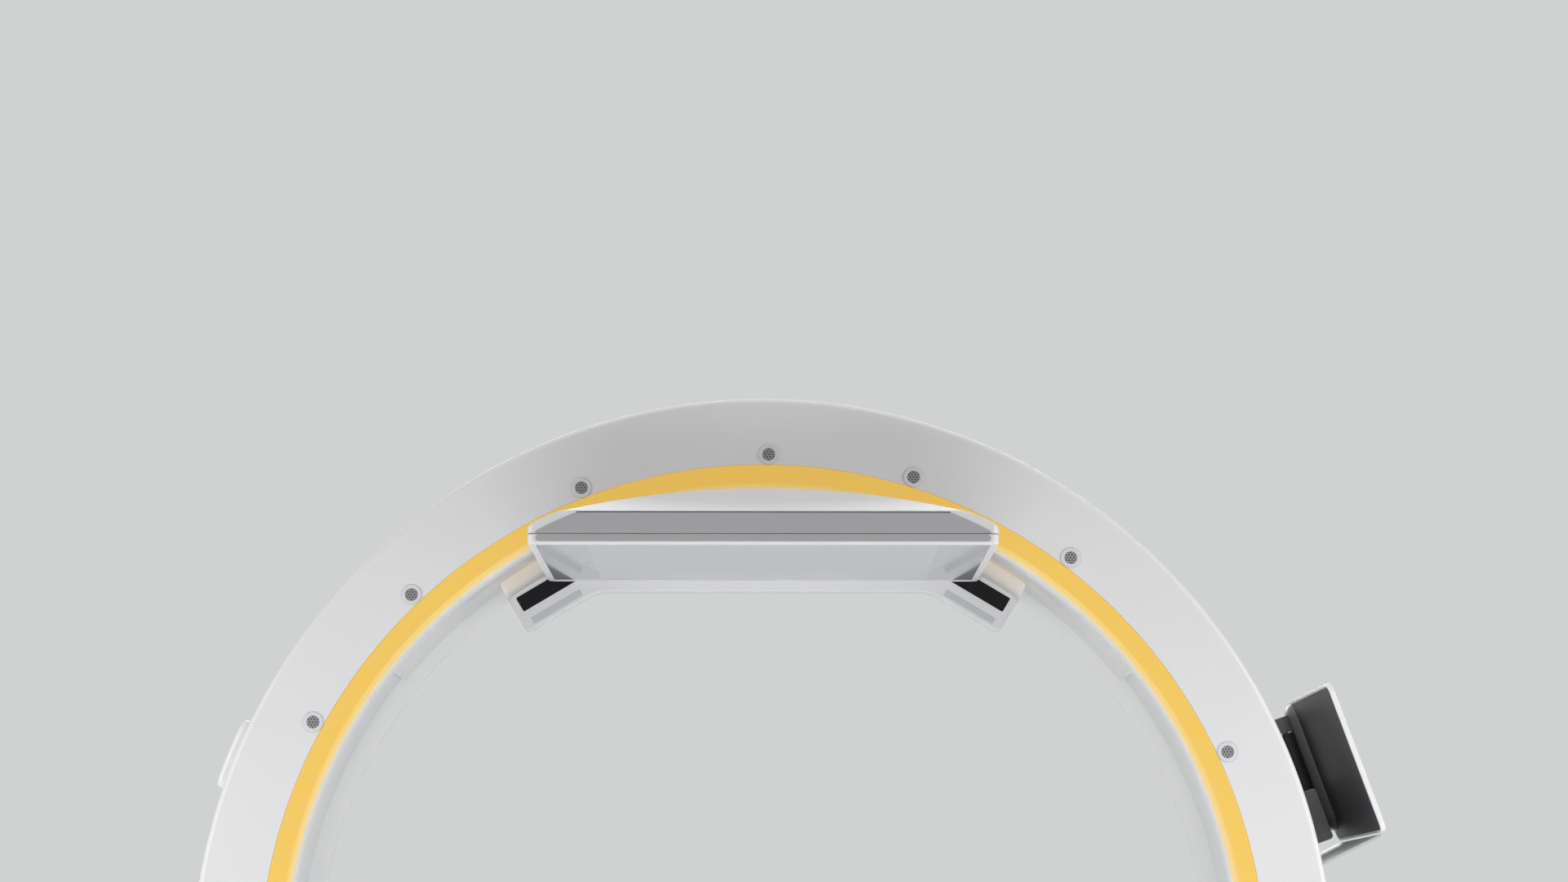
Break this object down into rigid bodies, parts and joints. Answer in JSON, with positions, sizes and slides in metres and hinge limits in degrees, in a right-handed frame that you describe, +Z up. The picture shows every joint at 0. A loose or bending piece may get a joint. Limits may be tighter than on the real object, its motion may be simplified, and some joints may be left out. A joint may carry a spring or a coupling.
{
  "type": "mobile ring ct scanner",
  "caption": "White ring X-ray scanner on a castored base: tilting ring gantry with orbiting detector and source, tracking markers round a yellow-banded bore, and a side tablet.",
  "frame": {"origin": "on the floor, under the middle of the ring", "axes": "+X to the right as the front of the ring is faced, +Y away from the viewer along the ring's axis, +Z up"},
  "size_m": [1.7, 1, 1.656],
  "materials": {
    "white_shell": "semi-gloss white moulded cover",
    "rotor_grey": "satin light grey paint",
    "accent_yellow": "satin warm yellow",
    "marker_white": "satin white rims",
    "marker_reflector": "retro-reflective cells",
    "panel_grey": "satin mid grey",
    "window_grey": "polished grey-blue window",
    "lens_black": "glossy black window",
    "strip_grey": "translucent grey strip",
    "tablet_black": "fine textured black",
    "tablet_white": "polished white",
    "screen_glass": "dark cover glass",
    "bracket_grey": "satin dark grey",
    "ledge_grey": "satin light grey",
    "bumper_rubber": "matt grey rubber",
    "wheel_rubber": "grey polyurethane tread",
    "fork_metal": "satin grey",
    "frame_steel": "black primer",
    "cast_aluminium": "machined",
    "bright_steel": "ground",
    "drive_copper": "varnished windings",
    "drive_black": "black",
    "electronics_box": "anodised",
    "battery_case": "moulded",
    "cable_orange": "silicone jacket",
    "inlet_black": "moulded",
    "stop_yellow": "satin yellow",
    "stop_red": "glossy red",
    "tube_metal": "grey enamel over a lead lining",
    "tube_glass": "clear",
    "anode_tungsten": "matt",
    "collimator_metal": "matt",
    "sensor_metal": "anodised"
  },
  "bodies": {
    "base": {"chassis_frame": "frame_steel", "left_upright": "frame_steel", "right_upright": "frame_steel", "chassis_cover": "white_shell", "base_bumper": "bumper_rubber", "left_column_cover": "white_shell", "right_column_cover": "white_shell", "trunnion_bearings": "bright_steel", "tilt_drive": "drive_black", "battery_pack": "battery_case", "power_unit": "electronics_box", "power_inlet": "inlet_black", "stop_housings": "stop_yellow"},
    "gantry": {"front_cover": "white_shell", "accent_band": "accent_yellow", "front_lip": "white_shell", "rear_cover": "white_shell", "ring_frame": "cast_aluminium", "outer_races": "bright_steel", "drive_stators": "drive_copper", "marker_rims": "marker_white", "marker_discs": "marker_reflector", "gantry_electronics": "electronics_box", "service_cable": "cable_orange", "side_module": "white_shell", "tablet_bracket": "bracket_grey", "tablet_ledge": "ledge_grey", "trunnions": "bright_steel"},
    "source_rotor": {"source_rotor_ring": "rotor_grey", "source_carriage": "rotor_grey", "source_shell": "white_shell", "source_window": "window_grey", "tube_housing": "tube_metal", "tube_insert": "tube_glass", "collimator_body": "collimator_metal"},
    "detector_rotor": {"detector_rotor_ring": "rotor_grey", "detector_carriage": "white_shell", "scanner_windows": "lens_black", "status_strips": "strip_grey", "detector_roof": "white_shell", "detector_front_panel": "panel_grey", "detector_lower_frame": "white_shell", "detector_window": "window_grey", "detector_sensor": "sensor_metal"},
    "anode": {"tube_anode": "anode_tungsten"},
    "jaw_left": {"collimator_jaw_left": "collimator_metal"},
    "jaw_right": {"collimator_jaw_right": "collimator_metal"},
    "tablet": {"tablet_back": "tablet_black", "tablet_bezel": "tablet_white", "tablet_screen": "screen_glass"},
    "stop_left": {"stop_button_left": "stop_red"},
    "stop_right": {"stop_button_right": "stop_red"},
    "castor_front_left": {"castor_fork_front_left": "fork_metal"},
    "wheels_front_left": {"castor_wheels_front_left": "wheel_rubber"},
    "castor_front_right": {"castor_fork_front_right": "fork_metal"},
    "wheels_front_right": {"castor_wheels_front_right": "wheel_rubber"},
    "castor_rear_left": {"castor_fork_rear_left": "fork_metal"},
    "wheels_rear_left": {"castor_wheels_rear_left": "wheel_rubber"},
    "castor_rear_right": {"castor_fork_rear_right": "fork_metal"},
    "wheels_rear_right": {"castor_wheels_rear_right": "wheel_rubber"}
  },
  "joints": [
    {"name": "gantry_tilt", "type": "hinge", "parent": "base", "child": "gantry", "pos_m": [0, 0, 0.93], "axis": [1, 0, 0], "range_deg": [-30, 30]},
    {"name": "source_orbit", "type": "hinge", "parent": "gantry", "child": "source_rotor", "pos_m": [0, 0, 0.93], "axis": [0, 1, 0], "range_deg": [-180, 180]},
    {"name": "detector_offset", "type": "hinge", "parent": "source_rotor", "child": "detector_rotor", "pos_m": [0, 0, 0.93], "axis": [0, 1, 0], "range_deg": [-110, 110]},
    {"name": "anode_spin", "type": "hinge", "parent": "source_rotor", "child": "anode", "pos_m": [0, -0.295, 0.49], "axis": [0, 1, 0], "continuous": true},
    {"name": "jaw_left_slide", "type": "slide", "parent": "source_rotor", "child": "jaw_left", "axis": [-1, 0, 0], "range_m": [-0.0035, 0.034]},
    {"name": "jaw_right_slide", "type": "slide", "parent": "source_rotor", "child": "jaw_right", "axis": [1, 0, 0], "range_m": [-0.0035, 0.034]},
    {"name": "tablet_swivel", "type": "hinge", "parent": "gantry", "child": "tablet", "pos_m": [0.73341, 0.15, 1.1926], "axis": [-0.3371, 0, 0.9415], "range_deg": [0, 90]},
    {"name": "stop_left_press", "type": "slide", "parent": "base", "child": "stop_left", "axis": [0, 0.9848, -0.1736], "range_m": [0, 0.005], "stiffness_N_per_m": 2400},
    {"name": "stop_right_press", "type": "slide", "parent": "base", "child": "stop_right", "axis": [0, 0.9848, -0.1736], "range_m": [0, 0.005], "stiffness_N_per_m": 2400},
    {"name": "castor_swivel_front_left", "type": "hinge", "parent": "base", "child": "castor_front_left", "pos_m": [-0.7, -0.39, 0.1], "axis": [0, 0, 1], "continuous": true},
    {"name": "castor_swivel_front_right", "type": "hinge", "parent": "base", "child": "castor_front_right", "pos_m": [0.7, -0.39, 0.1], "axis": [0, 0, 1], "continuous": true},
    {"name": "castor_swivel_rear_left", "type": "hinge", "parent": "base", "child": "castor_rear_left", "pos_m": [-0.7, 0.39, 0.1], "axis": [0, 0, 1], "continuous": true},
    {"name": "castor_swivel_rear_right", "type": "hinge", "parent": "base", "child": "castor_rear_right", "pos_m": [0.7, 0.39, 0.1], "axis": [0, 0, 1], "continuous": true},
    {"name": "castor_roll_front_left", "type": "hinge", "parent": "castor_front_left", "child": "wheels_front_left", "pos_m": [-0.67, -0.39, 0.05], "axis": [0, 1, 0], "continuous": true},
    {"name": "castor_roll_front_right", "type": "hinge", "parent": "castor_front_right", "child": "wheels_front_right", "pos_m": [0.67, -0.39, 0.05], "axis": [0, 1, 0], "continuous": true},
    {"name": "castor_roll_rear_left", "type": "hinge", "parent": "castor_rear_left", "child": "wheels_rear_left", "pos_m": [-0.67, 0.39, 0.05], "axis": [0, 1, 0], "continuous": true},
    {"name": "castor_roll_rear_right", "type": "hinge", "parent": "castor_rear_right", "child": "wheels_rear_right", "pos_m": [0.67, 0.39, 0.05], "axis": [0, 1, 0], "continuous": true}
  ]
}
